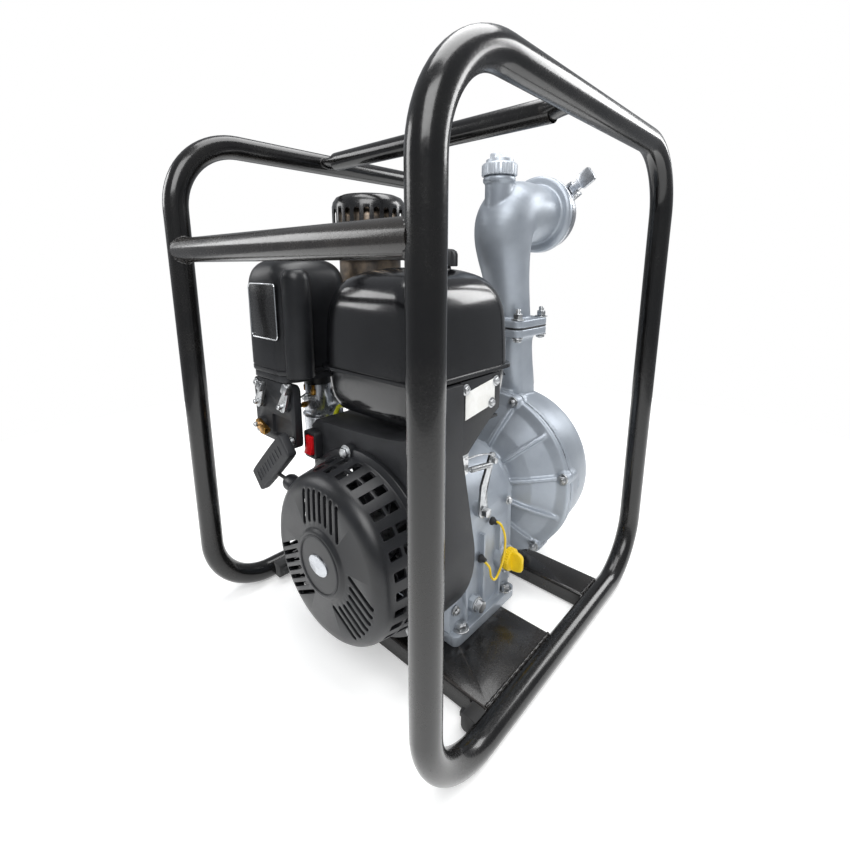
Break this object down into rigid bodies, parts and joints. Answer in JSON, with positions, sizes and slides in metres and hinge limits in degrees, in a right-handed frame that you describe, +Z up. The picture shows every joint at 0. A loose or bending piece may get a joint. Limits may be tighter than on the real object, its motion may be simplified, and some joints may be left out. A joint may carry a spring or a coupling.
{
  "type": "portable fire pump",
  "caption": "Portable engine-driven centrifugal fire pump in a black tubular carrying frame, with recoil starter, fuel tank and hose coupling.",
  "frame": {"origin": "middle of the frame's footprint on the ground; +Z up, crankshaft along +Y from recoil starter to pump, +X to the operator's right facing the pump", "axes": "+Z up, +Y along the crankshaft towards the pump, +X across the hoops"},
  "size_m": [0.428, 0.498, 0.63],
  "materials": {
    "frame_paint": "gloss",
    "cast_aluminium": "as cast",
    "machined_aluminium": "machined",
    "black_steel": "gloss",
    "matte_plastic": "matte",
    "gloss_plastic": "gloss",
    "bright_steel": "plated",
    "iron": "as cast",
    "rubber": "matte",
    "yellow_plastic": "satin",
    "red_plastic": "gloss",
    "brass_fitting": "satin",
    "white_label": "matte",
    "filter_foam": "matte"
  },
  "bodies": {
    "frame": {"hoop_right": "frame_paint", "hoop_left": "frame_paint", "front_rail": "frame_paint", "top_bar": "frame_paint", "base_plate": "frame_paint", "rear_crossmember": "frame_paint", "hoop_lug_right": "rubber", "hoop_lug_left": "rubber", "cylinder_block": "cast_aluminium", "crankcase_cover": "cast_aluminium", "cylinder_head": "cast_aluminium", "valve_cover": "black_steel", "spark_plug": "bright_steel", "plug_cap": "rubber", "blower_housing": "matte_plastic", "side_cowl": "matte_plastic", "recoil_housing": "gloss_plastic", "fuel_tank": "gloss_plastic", "air_cleaner_cover": "gloss_plastic", "air_cleaner_base": "matte_plastic", "filter_element": "filter_foam", "carburettor": "machined_aluminium", "control_panel": "matte_plastic", "switch_body": "matte_plastic", "muffler": "iron", "muffler_guard": "black_steel", "oil_sensor_lead": "yellow_plastic", "pump_adapter": "cast_aluminium", "pump_casing": "cast_aluminium", "casing_gasket": "rubber", "volute": "iron", "suction_port": "cast_aluminium", "discharge_gasket": "rubber", "discharge_elbow": "cast_aluminium", "outlet_coupling": "machined_aluminium", "fuel_hose": "yellow_plastic", "badge_plate": "black_steel", "serial_label": "white_label", "shaft_seal": "rubber"},
    "crank": {"crankshaft": "bright_steel", "flywheel": "iron", "starter_cup": "bright_steel", "impeller": "iron"},
    "piston": {"piston": "machined_aluminium"},
    "recoil_pulley": {"recoil_pulley": "matte_plastic"},
    "starter_rope": {"starter_rope": "rubber", "pull_grip": "matte_plastic"},
    "fuel_cap": {"fuel_cap": "matte_plastic"},
    "choke_lever": {"choke_lever": "bright_steel"},
    "throttle_lever": {"throttle_lever": "bright_steel"},
    "fuel_valve_lever": {"fuel_valve_lever": "brass_fitting"},
    "engine_switch": {"engine_switch": "red_plastic"},
    "governor_lever": {"governor_lever": "bright_steel"},
    "oil_dipstick": {"oil_dipstick": "yellow_plastic"},
    "oil_drain_plug": {"oil_drain_plug": "bright_steel"},
    "pump_drain_plug": {"pump_drain_plug": "bright_steel"},
    "suction_flap": {"suction_flap": "rubber"},
    "priming_cap": {"priming_cap": "cast_aluminium"},
    "cam_arm_right": {"cam_arm_right": "machined_aluminium"},
    "cam_arm_left": {"cam_arm_left": "machined_aluminium"}
  },
  "joints": [
    {"name": "crank_spin", "type": "hinge", "parent": "frame", "child": "crank", "pos_m": [0.03, 0, 0.16], "axis": [0, 1, 0], "continuous": true},
    {"name": "piston_stroke", "type": "slide", "parent": "frame", "child": "piston", "axis": [-0.866, 0, 0.5], "range_m": [-0.02, 0.02]},
    {"name": "rope_pull", "type": "slide", "parent": "frame", "child": "starter_rope", "axis": [-0.9962, 0, 0.0872], "range_m": [0, 0.15]},
    {"name": "pulley_turn", "type": "hinge", "parent": "frame", "child": "recoil_pulley", "pos_m": [0.03, -0.192, 0.16], "axis": [0, 1, 0], "range_deg": [0, 173]},
    {"name": "fuel_cap_turn", "type": "hinge", "parent": "frame", "child": "fuel_cap", "pos_m": [0.052, -0.062, 0.468], "axis": [0, 0, 1], "range_deg": [0, 90]},
    {"name": "choke_swing", "type": "hinge", "parent": "frame", "child": "choke_lever", "pos_m": [-0.146, -0.17, 0.298], "axis": [0, 1, 0], "range_deg": [-10, 70]},
    {"name": "throttle_swing", "type": "hinge", "parent": "frame", "child": "throttle_lever", "pos_m": [-0.088, -0.17, 0.302], "axis": [0, -1, 0], "range_deg": [0, 55]},
    {"name": "fuel_valve_swing", "type": "hinge", "parent": "frame", "child": "fuel_valve_lever", "pos_m": [-0.15, -0.17, 0.266], "axis": [0, 1, 0], "range_deg": [-15, 15]},
    {"name": "switch_rock", "type": "hinge", "parent": "frame", "child": "engine_switch", "pos_m": [-0.058, -0.158, 0.256], "axis": [1, 0, 0], "range_deg": [-4, 14]},
    {"name": "governor_swing", "type": "hinge", "parent": "frame", "child": "governor_lever", "pos_m": [0.11, -0.034, 0.178], "axis": [1, 0, 0], "range_deg": [-8, 8]},
    {"name": "dipstick_turn", "type": "hinge", "parent": "frame", "child": "oil_dipstick", "pos_m": [0.116, 0.018, 0.09], "axis": [1, 0, 0], "range_deg": [-180, 0]},
    {"name": "oil_drain_turn", "type": "hinge", "parent": "frame", "child": "oil_drain_plug", "pos_m": [0.113, -0.044, 0.054], "axis": [1, 0, 0], "range_deg": [-180, 0]},
    {"name": "pump_drain_turn", "type": "hinge", "parent": "frame", "child": "pump_drain_plug", "pos_m": [0.08288, 0.134, 0.04124], "axis": [0.4067, 0, -0.9135], "range_deg": [-180, 0]},
    {"name": "flap_swing", "type": "hinge", "parent": "frame", "child": "suction_flap", "pos_m": [0.03, 0.1987, 0.201], "axis": [1, 0, 0], "range_deg": [-14, 0]},
    {"name": "priming_cap_turn", "type": "hinge", "parent": "frame", "child": "priming_cap", "pos_m": [0.03, 0.1, 0.6], "axis": [0, 0, 1], "range_deg": [-90, 90]},
    {"name": "cam_arm_right_swing", "type": "hinge", "parent": "frame", "child": "cam_arm_right", "pos_m": [0.07751, 0.2233, 0.57927], "axis": [-0.5736, 0, 0.8192], "range_deg": [0, 80]},
    {"name": "cam_arm_left_swing", "type": "hinge", "parent": "frame", "child": "cam_arm_left", "pos_m": [-0.01751, 0.2233, 0.51273], "axis": [-0.5736, 0, 0.8192], "range_deg": [-80, 0]}
  ],
  "couplings": [
    {"joint": "pulley_turn", "follows": "rope_pull", "rad_per_m": 20}
  ]
}
